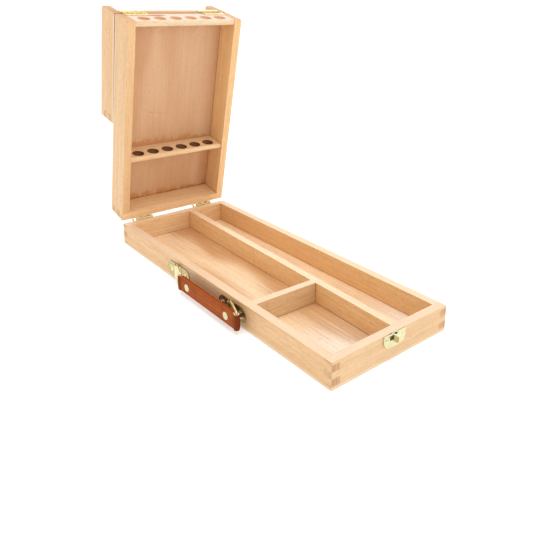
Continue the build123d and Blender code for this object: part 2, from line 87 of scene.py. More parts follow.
class Value:
    """A number in a material's nodes. Arithmetic on it adds Math nodes."""

    def __init__(self, graph, socket):
        self.graph = graph
        self.socket = socket

    def math(self, operation, *others):
        return self.graph.math(operation, self, *others)

    def __add__(self, other):
        return self.math("ADD", other)

    def __radd__(self, other):
        return self.graph.math("ADD", other, self)

    def __sub__(self, other):
        return self.math("SUBTRACT", other)

    def __rsub__(self, other):
        return self.graph.math("SUBTRACT", other, self)

    def __mul__(self, other):
        return self.math("MULTIPLY", other)

    def __rmul__(self, other):
        return self.graph.math("MULTIPLY", other, self)

    def __truediv__(self, other):
        return self.math("DIVIDE", other)

    def __gt__(self, other):
        return self.math("GREATER_THAN", other)

    def __lt__(self, other):
        return self.math("LESS_THAN", other)

    def __abs__(self):
        return self.math("ABSOLUTE")


class Graph:
    """The node tree of a new material or of a world, with one method that makes any node."""

    bevel_samples = 4

    def __init__(self, name, owner=None):
        self.owner = owner or bpy.data.materials.new(name)
        self.owner.use_nodes = True
        self.tree = self.owner.node_tree
        self.tree.nodes.clear()

    def node(self, kind, settings=None, inputs=None):
        """Makes a node, sets its settings first and then its sockets to values or links."""
        made = self.tree.nodes.new(kind)
        for key, setting in (settings or {}).items():
            setattr(made, key, setting)
        for key, given in (inputs or {}).items():
            socket = made.inputs[key]
            if isinstance(given, Value):
                given = given.socket
            if isinstance(given, bpy.types.NodeSocket):
                self.tree.links.new(given, socket)
            else:
                socket.default_value = given
        return made

    def math(self, operation, *values):
        made = self.node("ShaderNodeMath", {"operation": operation}, dict(enumerate(values)))
        return Value(self, made.outputs[0])

    def clamp(self, value, low=0.0, high=1.0):
        made = self.node("ShaderNodeClamp", None, {"Value": value, "Min": low, "Max": high})
        return Value(self, made.outputs[0])

    def ease(self, value, start, end):
        """A smooth step of a value, from 0 at start to 1 at end."""
        settings = {"interpolation_type": "SMOOTHSTEP"}
        inputs = {"Value": value, "From Min": start, "From Max": end}
        return Value(self, self.node("ShaderNodeMapRange", settings, inputs).outputs[0])

    def mix(self, factor, first, second, how="MIX"):
        """Mixes two colours."""
        settings = {"data_type": "RGBA", "blend_type": how, "clamp_factor": True}
        inputs = {0: factor, 6: as_colour(first), 7: as_colour(second)}
        return self.node("ShaderNodeMix", settings, inputs).outputs[2]

    def vector(self, operation, first, second):
        """Vector Math on two vectors."""
        made = self.node("ShaderNodeVectorMath", {"operation": operation}, {0: first, 1: second})
        return made.outputs[0]

    def split(self, vector):
        made = self.node("ShaderNodeSeparateXYZ", None, {0: vector})
        return [Value(self, socket) for socket in made.outputs]

    def join(self, x, y, z):
        return self.node("ShaderNodeCombineXYZ", None, {0: x, 1: y, 2: z}).outputs[0]

    def noise(self, vector, scale, detail=2.0, roughness=0.5):
        """Noise whose grain size differs along the three axes: scale gives the cycles per metre."""
        stretched = self.vector("MULTIPLY", vector, scale)
        inputs = {"Vector": stretched, "Scale": 1.0, "Detail": detail, "Roughness": roughness}
        return Value(self, self.node("ShaderNodeTexNoise", None, inputs).outputs[0])

    def placed(self, matrix, kind="POINT"):
        """Object coordinates, or the surface's normal, carried to another place by a Mapping node."""
        coordinates = self.node("ShaderNodeTexCoord")
        source = coordinates.outputs["Normal" if kind == "NORMAL" else "Object"]
        turn = matrix.to_euler()
        inputs = {"Vector": source, "Rotation": (turn.x, turn.y, turn.z)}
        if kind == "POINT":
            inputs["Location"] = tuple(matrix.to_translation())
        return self.node("ShaderNodeMapping", {"vector_type": kind}, inputs).outputs[0]

    def bump(self, height, depth, normal=None):
        """A Bump node for a height that varies from 0 to 1 over a depth in metres."""
        inputs = {"Height": height, "Distance": depth, "Strength": 1.0}
        if normal is not None:
            inputs["Normal"] = normal
        return self.node("ShaderNodeBump", None, inputs).outputs[0]

    def worn_edges(self, radius):
        """The normal of a surface whose edges are eased by a radius."""
        settings = {"samples": self.bevel_samples}
        return self.node("ShaderNodeBevel", settings, {"Radius": radius}).outputs[0]

    def finish(self, shader_inputs):
        """Ends the material in a Principled shader with these sockets."""
        shader = self.node("ShaderNodeBsdfPrincipled", None, shader_inputs)
        self.node("ShaderNodeOutputMaterial", None, {"Surface": shader.outputs[0]})
        return self.owner


def as_colour(given):
    """A colour of three numbers gets its alpha. A socket passes through."""
    return given if isinstance(given, bpy.types.NodeSocket) else (*given, 1.0)


def colour(name, description, value):
    """A colour property for a finish, in linear light."""
    return FloatVectorProperty(
        name=name, description=description, subtype="COLOR", size=3, min=0.0, max=1.0, default=value
    )


def length(name, description, value):
    """A length property in metres."""
    return FloatProperty(name=name, description=description, default=value, unit="LENGTH", precision=5)


def share(name, description, value):
    """A property from 0 to 1."""
    return FloatProperty(
        name=name, description=description, subtype="FACTOR", min=0.0, max=1.0, default=value
    )


def angle(name, description, degrees):
    """An angle property, given in degrees."""
    return FloatProperty(name=name, description=description, default=math.radians(degrees), unit="ROTATION")


def power(name, description, watts):
    """A light's power."""
    return FloatProperty(name=name, description=description, default=watts, unit="POWER")


def amount(name, description, value):
    """A property without a unit."""
    return FloatProperty(name=name, description=description, default=value)


# ---- Sizes and colours that a user would change ----


class BrushBoxWood(bpy.types.PropertyGroup):
    """Colours of the solid beech."""

    pale: colour("Pale beech", "Colour of the early wood", (0.77, 0.52, 0.285))
    warm: colour("Warm beech", "Colour of the late wood", (0.67, 0.40, 0.185))
    fleck: colour("Flecks", "Colour of the short rays that fleck the boards", (0.43, 0.22, 0.085))
    end_grain: colour("End grain", "Colour of the cut ends of the fingers", (0.42, 0.22, 0.115))
    # Painted highlight: a paler, pinker colour on the tray's up-facing rims, standing for the light on them
    sanded: colour("Sanded top", "Paler, pinker wood on the rims that were sanded last", (0.80, 0.62, 0.47))
    sawn: colour("Sawn rack", "Greyish pink of the end rack's sawn top", (0.68, 0.50, 0.40))
    # Brown of the painted shade along the joints
    joint: colour("Joint line", "Brown of the hairline where two boards meet", (0.40, 0.15, 0.035))
    slip: colour("Chisel slip", "Orange brown of the slip on the end rack", (0.40, 0.15, 0.035))
    fresh: colour("Fresh bore", "Orange wood inside the end rack's bores", (0.78, 0.46, 0.26))
    # Near-black brown: the drill's scorch together with painted shade, used in the middle rack's deep bores
    # and behind the keeper's window
    scorch_and_shade: colour("Burnt bore", "Colour of wood that the drill has scorched", (0.13, 0.034, 0.008))
    edge: length("Eased edge", "Radius of the boards' sanded edges", 0.0004)
    roughness: share("Roughness", "Satin of the lacquer", 0.43)


class BrushBoxPlywood(bpy.types.PropertyGroup):
    """Colours of the plywood panels."""

    outside: colour("Outside veneer", "Pinkish beige of the lid's outer face", (0.76, 0.56, 0.41))
    inside: colour("Lid inside", "Reddish veneer inside the lid", (0.655, 0.405, 0.23))
    floor: colour("Tray floor", "Veneer of the tray's floor", (0.93, 0.69, 0.44))
    # Painted light: the tray's floor turns paler towards the catch, away from the lid's shade
    floor_painted_light: colour("Pale floor", "Paler veneer of the floor towards the catch", (0.95, 0.83, 0.71))
    edge: colour("Edge", "Pale sanded edge of the veneers", (0.80, 0.62, 0.42))
    core: colour("Core", "Darker middle ply that shows at the edges", (0.42, 0.235, 0.12))
    glue: colour("Glue stain", "Amber stain where glue ran out of a joint", (0.52, 0.19, 0.045))
    bead: colour("Glue bead", "Dark amber of the glue left in a corner", (0.34, 0.095, 0.02))
    # Painted shade: this brown stands for the shade at the saw cut, on the lid panels' ends and the
    # batten's sawn face
    scorched: colour("Sawn end", "Brown of the wood where the saw parted the lid", (0.52, 0.24, 0.075))
    # Brown of the painted shade along the joints
    joint: colour("Joint line", "Brown of the hairline where two boards meet", (0.38, 0.15, 0.04))


class BrushBoxBrass(bpy.types.PropertyGroup):
    """Colours of the brass plated fittings."""

    # The handle plates' brass is darker than the catch's: partly its own tone, partly painted shade for the
    # dark strap and shaded floor it reflects
    plate: colour("Handle plates", "Greenish brass of the handle's plates", (0.43, 0.385, 0.21))
    # Painted highlight: the paler brass on the plates' channels stands for the light they reflect
    channel_highlight: colour("Polished", "Brass that the hand polishes on the plates' channels", (0.72, 0.67, 0.42))
    catch: colour("Catch", "Pale brass of the catch and its keeper", (0.62, 0.59, 0.37))
    hinge: colour("Hinges", "Yellow brass of the hinges", (0.78, 0.60, 0.27))
    wire: colour("Wire", "Deeper brass of the rings, pins and nails", (0.86, 0.70, 0.36))
    tarnish: colour("Tarnish", "Brown of the tarnish on the brass", (0.42, 0.27, 0.10))
    roughness: share("Roughness", "Polish of the plating", 0.2)


class BrushBoxLeather(bpy.types.PropertyGroup):
    """Sizes and colours of the strap."""

    tan: colour("Leather", "Reddish brown of the strap's face", (0.42, 0.092, 0.012))
    # Also the colour of painted shade round the loops' folds and over the loop nearer the catch
    dark: colour("Folds", "Darker brown in the creases and folds", (0.155, 0.032, 0.009))
    raw: colour("Raw edge", "Paler leather where the strap was cut", (0.38, 0.10, 0.026))
    core: colour("Undyed core", "Undyed leather that shows at the ends of the loops", (0.86, 0.62, 0.50))
    thread: colour("Thread", "Waxed thread", (0.60, 0.26, 0.11))
    layer: length("Leather thickness", "Thickness of one layer of leather", 0.00205)
    crease: length("Crease inset", "Distance of the pressed crease from the strap's edge", 0.0018)
    stitches: IntProperty(name="Stitches", description="Stitches between the rivets", default=27, min=2)
    stitch_row: length("Stitched length", "Length of the row of stitches", 0.061)


class BrushBoxStage(bpy.types.PropertyGroup):
    """Camera and light."""

    lens: FloatProperty(name="Lens", description="Focal length", default=39.97, unit="CAMERA")
    azimuth: angle("Azimuth", "Turn of the view", 49.17)
    tilt: angle("Tilt", "Downward tilt", 16.28)
    roll: angle("Roll", "Roll of the camera", 0.87)
    shift_x: amount("Shift X", "Sideways lens shift", -0.0717)
    shift_y: amount("Shift Y", "Vertical lens shift", -0.1815)
    place: FloatVectorProperty(
        name="Camera",
        description="Place of the camera",
        default=(0.5084, -0.3707, 0.3139),
        unit="LENGTH",
        size=3,
    )
    key: power("Key light", "Power of the key light", 2.4)
    fill: power("Fill light", "Power of the handle side's light", 5.5)
    top: power("Top light", "Power of the light overhead", 14.0)
    sky: amount("Tent", "Brightness of the white tent round the box", 0.6)
    back_wall: amount("Back wall", "Brightness added behind the box", 1.9)
    horizon: amount("Horizon", "Brightness added low down all round", 0.45)
    open_side: amount("Open side", "Brightness lost at the open side", 0.1)


# ---- Beech boards ----

# Each board: its body, the way its grain runs, its plank, and how strongly its end grain shows.
# Boards of one plank share their grain across the saw cuts.
BOARDS = {
    "tray_front_board": ("tray", "X", 1, 0.85),
    "lid_long_front_board": ("long_section", "X", 1, 0.6),
    "lid_short_front_board": ("short_section", "X", 1, 0.85),
    "tray_back_board": ("tray", "X", 2, 0.85),
    "lid_long_back_board": ("long_section", "X", 2, 0.6),
    "lid_short_back_board": ("short_section", "X", 2, 0.85),
    "tray_hinge_end_board": ("tray", "Y", 3, 0.8),
    "lid_hinge_end_board": ("long_section", "Y", 3, 0.8),
    "tray_latch_end_board": ("tray", "Y", 4, 0.5),
    "lid_latch_end_board": ("short_section", "Y", 4, 0.5),
    "long_divider": ("tray", "X", 5, 0.6),
    "cross_divider": ("tray", "Y", 6, 0.6),
    "end_rack": ("long_section", "Y", 7, 0.6),
    "middle_rack": ("long_section", "Y", 8, 0.6),
    "hinge_batten": ("short_section", "Y", 9, 0.6),
}

# Each plank's own tone, which multiplies the colours of the wood
PLANK_TONES = {
    1: (0.99, 0.97, 0.94),
    2: (1.08, 1.04, 0.93),
    # Plank 3, the hinge end boards, is brighter and bluer: partly its own tone, partly painted light for
    # the lid's end board in shade
    3: (1.17, 1.21, 1.27),
    4: (0.93, 0.95, 0.97),
    5: (1.14, 1.12, 1.02),
    6: (1.02, 1.08, 1.16),
    7: (0.98, 1.12, 1.36),
    8: (1.06, 1.10, 1.16),
    9: (1.0, 1.0, 1.0),
}

# How far the figure moves along and across the grain from one plank to the next, so that no two look alike
PLANK_STEP = (1.37, 0.71, 0.29)

# The parts of the figure of beech: their cycles per metre along the grain and across it
DRIFT = (5.0, 24.0, 24.0)
TONE = (2.2, 16.0, 16.0)
STREAK = (7.0, 260.0, 260.0)
FIBRE = (55.0, 900.0, 900.0)
RAY = (210.0, 1250.0, 1250.0)
END_RINGS = (8.0, 640.0, 60.0)
END_VESSELS = (3000.0, 3000.0, 3000.0)
DRIFT_DEPTH = 0.012
GRAIN_DEPTH = 0.00007
VENEER_DEPTH = 0.00006
FLECK_STRENGTH = 0.38
FIBRE_STRENGTH = 0.26

# The satin lacquer over solid wood and veneer
LACQUER = {"Coat Weight": 0.1, "Coat Roughness": 0.3}


def shut_place(graph, body):
    """The place on the surface with the box shut, as x, y and z."""
    return graph.split(graph.placed(SHUT[body]))


def shut_normal(graph, body):
    """The surface's normal with the box shut, as x, y and z."""
    return graph.split(graph.placed(SHUT[body], "NORMAL"))


def grain_space(graph, body, grain, plank):
    """The place in the plank and the surface's normal, both with the grain along their first axis."""
    x, y, z = shut_place(graph, body)
    nx, ny, nz = shut_normal(graph, body)
    along, across = (x, y) if grain == "X" else (y, x)
    normal_along, normal_across = (nx, ny) if grain == "X" else (ny, nx)
    step_along, step_across, step_up = (plank * step for step in PLANK_STEP)
    place = graph.join(along + step_along, across + step_across, z + step_up)
    return place, graph.join(normal_along, normal_across, nz)


def wood_figure(graph, place):
    """The figure of beech, each part from 0 to 1: tone, growth streaks, fine fibres and ray flecks."""
    push = graph.noise(place, DRIFT) * DRIFT_DEPTH
    bent = graph.vector("ADD", place, graph.join(0.0, push, push))
    tone = graph.noise(bent, TONE)
    streak = graph.noise(bent, STREAK, 5.0, 0.65)
    fibre = graph.noise(place, FIBRE, 3.0, 0.6)
    fleck = graph.ease(graph.noise(place, RAY, 2.0, 0.6), 0.53, 0.68)
    return tone, streak, fibre, fleck


# ---- Marks left by the maker ----

# Sizes of the shut box, in metres
BOARD = 0.0095
HALF_LENGTH = 0.2
HALF_WIDTH = 0.076
INNER_X = HALF_LENGTH - BOARD
INNER_Y = HALF_WIDTH - BOARD
FLOOR_TOP = 0.0027
PANEL_LOW = 0.0591
RIM = 0.0268
SPLIT_X = 0.0615
DIVIDER_SKEW = math.radians(1.35)
LONG_DIVIDER = (0.0118, 0.0203)
CROSS_DIVIDER = (0.07305, 0.08155)

# The racks: their faces that meet the panel, the end rack's top, and the brush holes
RACKS = (-0.1193, -0.1123, 0.05375)
END_RACK_TOP = 0.06075
BRUSH_HOLE_PITCH = 0.0205
BRUSH_HOLE_RADIUS = 0.0075
BRUSH_HOLE_Z = 0.04
# Each rack's bore colour and strength: the middle rack's near-black is painted shade in the deep holes with
# the drill's scorch
BORES = {"end_rack": ("fresh", 0.8), "middle_rack": ("scorch_and_shade", 0.95)}

# Painted shade along the joints: its reach from the joint, its strength, and how far outside the inner
# faces it still shows in full and then no more
JOINT_SHADE_REACH = 0.00085
JOINT_SHADE_STRENGTH = 0.62
LINE_SHOWN = 0.0004
LINE_HIDDEN = 0.0014

# The keeper's window, the chisel slip on the end rack, and the height above which the sawn batten gets
# painted shade
WINDOW_MIDDLE = -0.0049
WINDOW_HALF = 0.0017
SLIP_MIDDLE = -0.0289
SLIP_HALF = 0.0127
SLIP_TOP = 0.0553
SLIP_RISE = 0.0030
SLIP_DEPTH = 0.0064
PAINTED_SHADE_LOW = 0.0525


def nearness(graph, distance, reach):
    """1 on a line and 0 beyond a reach from it."""
    return graph.ease(abs(distance), reach, reach * 0.25)


def strongest(values):
    """The greatest of several masks."""
    best = values[0]
    for value in values[1:]:
        best = best.math("MAXIMUM", value)
    return best


def joint_painted_shade(graph, body):
    """Painted shade: dark hairlines in the inner corners where boards meet, from 0 to 1.

    A joint is a plane. Its line shows on faces that stand across the plane, and not on faces that lie in
    it. The outside was sanded flush, so no line shows there."""
    x, y, z = shut_place(graph, body)
    normal = shut_normal(graph, body)
    across_x = [nearness(graph, abs(x) - INNER_X, JOINT_SHADE_REACH)]
    across_y = [nearness(graph, abs(y) - INNER_Y, JOINT_SHADE_REACH)]
    if body == "tray":
        level = FLOOR_TOP
        turned_x = x * math.cos(DIVIDER_SKEW) - y * math.sin(DIVIDER_SKEW)
        turned_y = x * math.sin(DIVIDER_SKEW) + y * math.cos(DIVIDER_SKEW)
        in_front = turned_y < LONG_DIVIDER[1]
        across_x += [nearness(graph, turned_x - side, JOINT_SHADE_REACH) * in_front for side in CROSS_DIVIDER]
        across_y += [nearness(graph, turned_y - side, JOINT_SHADE_REACH) for side in LONG_DIVIDER]
    else:
        level = PANEL_LOW
        across_x += [nearness(graph, x - side, JOINT_SHADE_REACH) for side in RACKS]
    across_z = [nearness(graph, z - level, JOINT_SHADE_REACH)]
    lines = [
        strongest(planes) * graph.ease(abs(facing), 0.6, 0.3)
        for planes, facing in zip((across_x, across_y, across_z), normal)
    ]
    inside_x = graph.ease(abs(x), INNER_X + LINE_HIDDEN, INNER_X + LINE_SHOWN)
    inside_y = graph.ease(abs(y), INNER_Y + LINE_HIDDEN, INNER_Y + LINE_SHOWN)
    off_rim = graph.ease(abs(z - RIM), 0.0009, 0.0016)
    return strongest(lines) * inside_x * inside_y * off_rim


def keeper_window_painted_shade(graph):
    """The wood behind the keeper's open window, darkened with painted shade."""
    x, y, z = shut_place(graph, "tray")
    plate_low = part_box("keeper_plate")[0].z
    beside = graph.ease(abs(y - WINDOW_MIDDLE), WINDOW_HALF + 0.0003, WINDOW_HALF)
    behind_plate = graph.ease(z, plate_low + 0.001, plate_low + 0.002)
    return beside * behind_plate * graph.ease(x, HALF_LENGTH - 0.0006, HALF_LENGTH - 0.0003) * 0.85


def bore_walls(graph):
    """Where a rack's surface is the wall of a brush hole: it lies on a cylinder round the hole's axis."""
    _, y, z = shut_place(graph, "long_section")
    hole = graph.clamp(y / BRUSH_HOLE_PITCH - 0.5, -3.0, 2.0).math("ROUND") + 0.5
    from_axis = graph.join(0.0, y - hole * BRUSH_HOLE_PITCH, z - BRUSH_HOLE_Z)
    distance = graph.node("ShaderNodeVectorMath", {"operation": "LENGTH"}, {0: from_axis}).outputs[1]
    return graph.ease(Value(graph, distance), BRUSH_HOLE_RADIUS + 0.0002, BRUSH_HOLE_RADIUS + 0.00005)


def batten_painted_shade(graph):
    """The face of the hinge batten that shows at the saw cut, where shade is painted, from 0 to 1."""
    x, _, z = shut_place(graph, "short_section")
    at_cut = graph.ease(x, SPLIT_X + 0.0014, SPLIT_X + 0.001)
    return at_cut * graph.ease(z, PAINTED_SHADE_LOW, PAINTED_SHADE_LOW + 0.001)


def chisel_slip(graph):
    """The arc of a shallow chisel slip on the end rack's top, near its back edge, from 0 to 1."""
    x, y, z = shut_place(graph, "long_section")
    aside = (y - SLIP_MIDDLE) / SLIP_HALF
    arc = SLIP_TOP - SLIP_RISE * aside * aside
    depth = SLIP_DEPTH * (1 - aside * aside)
    within = graph.ease(abs(z - arc + depth * 0.5) - depth * 0.5, 0.0005, 0.0)
    on_top = graph.ease(x, END_RACK_TOP - 0.001, END_RACK_TOP - 0.0004)
    return within * graph.ease(abs(aside), 1.0, 0.9) * on_top


def beech(node_name, body, grain, plank, end_strength, wood, ply):
    """Satin lacquered beech, with end grain where the surface cuts across the grain."""
    graph = Graph("beech_" + node_name)
    place, normal = grain_space(graph, body, grain, plank)
    tone, streak, fibre, fleck = wood_figure(graph, place)
    along, across, upward = graph.split(normal)
    depth = graph.ease(tone * 0.4 + streak * 0.6, 0.36, 0.64)
    face = graph.mix(depth * 0.8, wood.pale, wood.warm)
    face = graph.mix(graph.ease(fibre, 0.45, 0.7) * FIBRE_STRENGTH, face, wood.fleck)
    face = graph.mix(fleck * FLECK_STRENGTH, face, wood.fleck)
    face = graph.mix(1.0, face, PLANK_TONES[plank], "MULTIPLY")
    if body == "tray":
        # Painted highlight on the tray's up-facing faces
        face = graph.mix(graph.ease(upward, 0.8, 0.95) * 0.45, face, wood.sanded)
    if node_name == "end_rack":
        face = graph.mix(graph.ease(across, 0.8, 0.95) * 0.85, face, wood.sawn)
    rings = graph.noise(place, END_RINGS)
    vessels = graph.noise(place, END_VESSELS, 1.0)
    cut = graph.mix(graph.ease(rings, 0.44, 0.56) * 0.5, wood.end_grain, wood.warm)
    cut = graph.mix(graph.ease(vessels, 0.52, 0.7) * 0.35, cut, wood.fleck)
    is_end = graph.ease(abs(along), 0.7, 0.85)
    skin = graph.mix(is_end * end_strength, face, cut)
    # Painted shade in the inner corners along the joints
    skin = graph.mix(joint_painted_shade(graph, body) * JOINT_SHADE_STRENGTH, skin, wood.joint)
    skin = board_marks(graph, node_name, skin, wood, ply)
    relief = fibre * 0.5 + streak * 0.35 + fleck * -0.3 + is_end * vessels * 0.8
    return graph.finish(
        {
            "Base Color": skin,
            "Roughness": wood.roughness + streak * 0.08 + is_end * 0.2,
            "Normal": graph.bump(relief, GRAIN_DEPTH, graph.worn_edges(wood.edge)),
            "Specular IOR Level": 0.35,
            **LACQUER,
        }
    )


def board_marks(graph, node_name, skin, wood, ply):
    """Adds the marks that only one board has: its bores (the middle rack's with painted shade), its chisel
    slip, and the painted shade on its sawn face or behind its keeper's window.
    """
    if node_name in BORES:
        colour_name, strength = BORES[node_name]
        # The bore walls' colour; in the middle rack it is painted shade with the drill's scorch
        skin = graph.mix(bore_walls(graph) * strength, skin, getattr(wood, colour_name))
    if node_name == "end_rack":
        skin = graph.mix(chisel_slip(graph), skin, wood.slip)
    if node_name == "hinge_batten":
        # Painted shade on the batten's sawn face
        skin = graph.mix(batten_painted_shade(graph) * 0.85, skin, ply.scorched)
    if node_name == "tray_latch_end_board":
        # Painted shade behind the keeper's window
        skin = graph.mix(keeper_window_painted_shade(graph), skin, wood.scorch_and_shade)
    return skin


class BRUSHBOX_OT_boards(bpy.types.Operator):
    """Gives every solid board its beech, with the grain running the way the board was cut"""

    bl_idname = "brushbox.boards"
    bl_label = "Beech boards"

    def execute(self, context):
        wood = context.scene.brushbox_wood
        ply = context.scene.brushbox_plywood
        for node_name, (body, grain, plank, end_strength) in BOARDS.items():
            dress(node_name, beech(node_name, body, grain, plank, end_strength, wood, ply))
        return {"FINISHED"}


def dress(node_name, material):
    """Puts a material on a CAD node."""
    slots = frame["nodes"][node_name].data.materials
    slots.clear()
    slots.append(material)


# ---- Plywood panels ----

PLY = 0.0027
SCRATCH_START = (-0.0653, -0.0326)
SCRATCH_END = (-0.0690, -0.0049)

# Each panel: its body, the sheet it was cut from, and its underside
PANELS = {
    "tray_bottom": ("tray", 11, 0.0),
    "lid_long_panel": ("long_section", 12, PANEL_LOW),
    "lid_short_panel": ("short_section", 12, PANEL_LOW),
}

# What multiplies the veneer's colour in its darkest bands
TRAY_BANDS = (0.66, 0.48, 0.32)
LID_BANDS = (0.88, 0.77, 0.66)

# Painted light on the tray's floor: where it begins to turn paler towards the catch, and where it is palest
LIT_FROM = 0.09
LIT_FULL = 0.18


def veneer_colours(graph, body, x, upward, ply):
    """The panel's colour on either face, with painted light that pales the tray's floor towards the catch,
    and where its hidden face is, from 0 to 1.
    """
    if body == "tray":
        # Painted light: the floor pales towards the catch
        floor = graph.mix(graph.ease(x, LIT_FROM, LIT_FULL), ply.floor, ply.floor_painted_light)
        return graph.mix(upward, ply.outside, floor), 1 - upward
    return graph.mix(upward, ply.inside, ply.outside), upward


def plywood(node_name, body, sheet, low, ply):
    """Three-ply beech: a veneer on each face, and the darker core and the glue lines at the edges.

    Peeled veneer has wavy bands, where the knife passed through the growth rings, and short flecks."""
    graph = Graph("plywood_" + node_name)
    shut = graph.placed(SHUT[body])
    x, y, z = graph.split(shut)
    nz = shut_normal(graph, body)[2]
    step_along, step_across = (sheet * step for step in PLANK_STEP[:2])
    place = graph.join(x + step_along, y + step_across, 0.0)
    swirl = graph.noise(place, (4.0, 13.0, 1.0))
    rings = (y * 90.0 + swirl * 14.0).math("SINE") * 0.5 + 0.5
    tone, streak, fibre, fleck = wood_figure(graph, place)
    depth = graph.ease(rings * 0.25 + streak * 0.5 + tone * 0.25, 0.3, 0.7)
    veneer, hidden = veneer_colours(graph, body, x, nz > 0.5, ply)
    shown = 1 - hidden
    bands = graph.mix(1.0, veneer, TRAY_BANDS if body == "tray" else LID_BANDS, "MULTIPLY")
    face = graph.mix(depth, veneer, bands)
    face = graph.mix(fleck * FLECK_STRENGTH, face, ply.core)
    face = graph.mix(graph.ease(fibre, 0.45, 0.72) * 0.2, face, ply.core)
    if body == "long_section":
        face = graph.mix(glue_stain(graph, x, y, place) * shown, face, ply.glue)
        face = graph.mix(glue_bead(graph, x, place) * shown, face, ply.bead)
        face = graph.mix(scratch(graph, x, y) * shown, face, ply.core)
    # Painted shade in the inner corners along the joints
    face = graph.mix(joint_painted_shade(graph, body) * shown * JOINT_SHADE_STRENGTH, face, ply.joint)
    layer = (z - low) / PLY
    core = graph.ease(abs(layer - 0.5), 0.19, 0.15)
    grain_spots = graph.noise(shut, (900.0, 900.0, 900.0))
    edge = graph.mix(core * (0.1 + grain_spots * 0.4), ply.edge, ply.core)
    is_edge = graph.ease(abs(nz), 0.75, 0.6)
    skin = graph.mix(is_edge, face, edge)
    if body != "tray":
        # Painted shade on the lid's panels beside the saw cut
        skin = graph.mix(saw_cut_painted_shade(graph, x) * 0.9, skin, ply.scorched)
    relief = fibre * 0.5 + streak * 0.4 + fleck * -0.4
    return graph.finish(
        {
            "Base Color": skin,
            "Roughness": 0.42 + streak * 0.1 + is_edge * 0.2,
            "Normal": graph.bump(relief, VENEER_DEPTH, graph.worn_edges(0.0003)),
            "Specular IOR Level": 0.4,
            **LACQUER,
        }
    )


def saw_cut_painted_shade(graph, x):
    """The ends of the lid's panels beside the saw cut that parted the two sections, painted brown as shade.
    """
    return graph.ease(abs(x - SPLIT_X), 0.0023, 0.0018)


def scratch(graph, x, y):
    """A thin broken scratch across the inside of the long panel."""
    (start_x, start_y), (end_x, end_y) = SCRATCH_START, SCRATCH_END
    along = (y - start_y) / (end_y - start_y)
    off = x - start_x - along * (end_x - start_x)
    broken = graph.noise(graph.join(0.0, y, 0.0), (1.0, 420.0, 1.0))
    within = graph.ease(abs(along - 0.5), 0.5, 0.42)
    return graph.ease(abs(off), 0.0008, 0.0003) * within * graph.ease(broken, 0.4, 0.6) * 0.6


def glue_stain(graph, x, y, place):
    """The amber stain where glue ran out along the racks and the end board, widest at the handle side."""
    ragged = graph.noise(place, (70.0, 90.0, 1.0), 4.0, 0.7) + graph.ease(y, 0.05, -0.03) * 0.08
    reach = 0.0012 + graph.ease(ragged, 0.40, 0.66) * 0.012
    joints = (-INNER_X, RACKS[1], RACKS[2])
    near = strongest([1 - graph.clamp(abs(x - joint) / reach) for joint in joints])
    return graph.ease(near, 0.0, 0.6) * (0.3 + ragged * 0.6)


def glue_bead(graph, x, place):
    """Dashes of dark glue left along the inside of the hinge end board."""
    dashes = graph.ease(graph.noise(place, (1.0, 160.0, 1.0), 3.0, 0.7), 0.44, 0.54)
    return nearness(graph, x + INNER_X - 0.0009, 0.0018) * dashes * 0.85


class BRUSHBOX_OT_panels(bpy.types.Operator):
    """Gives the three panels their plywood, with veneered faces and layered edges"""

    bl_idname = "brushbox.panels"
    bl_label = "Plywood panels"

    def execute(self, context):
        ply = context.scene.brushbox_plywood
        for node_name, (body, sheet, low) in PANELS.items():
            dress(node_name, plywood(node_name, body, sheet, low, ply))
        return {"FINISHED"}


# ---- Brass ----

LEAVES = [
    *(f"lid_hinge_{side}_{leaf}_leaf" for leaf in ("tray", "lid") for side in ("front", "back")),
    *(f"section_hinge_{side}_{leaf}_leaf" for leaf in ("inner", "outer") for side in ("front", "back")),
]
TURNED = [
    "ring_left",
    "ring_right",
    "handle_screws",
    "keeper_nails",
    "latch_nails",
    "latch_pin",
    "lid_hinge_pins",
    "lid_hinge_tray_nails",
    "lid_hinge_lid_nails",
    "section_hinge_pins",
    "section_hinge_inner_nails",
    "section_hinge_outer_nails",
]

# Each kind of brass: the property that holds its colour, how strongly its rolling lines show, how strongly
# its tarnish shows, and its nodes
BRASS = {
    # The handle plates' darker brass is partly painted shade
    "handle_brass": ("plate", 0.1, 0.1, ["handle_plate_left", "handle_plate_right"]),
    "catch_brass": ("catch", 0.25, 0.1, ["keeper_plate", "latch_plate", "latch_lever", "strap_rivets"]),
    "hinge_brass": ("hinge", 0.35, 0.6, LEAVES),
    "turned_brass": ("wire", 0.05, 0.1, TURNED),
}

# The front of the handle's plates, past which their channels rise and get a painted highlight, and the
# depth of the brass's relief
PLATE_FRONT = -0.0770
BRASS_DEPTH = 0.000005


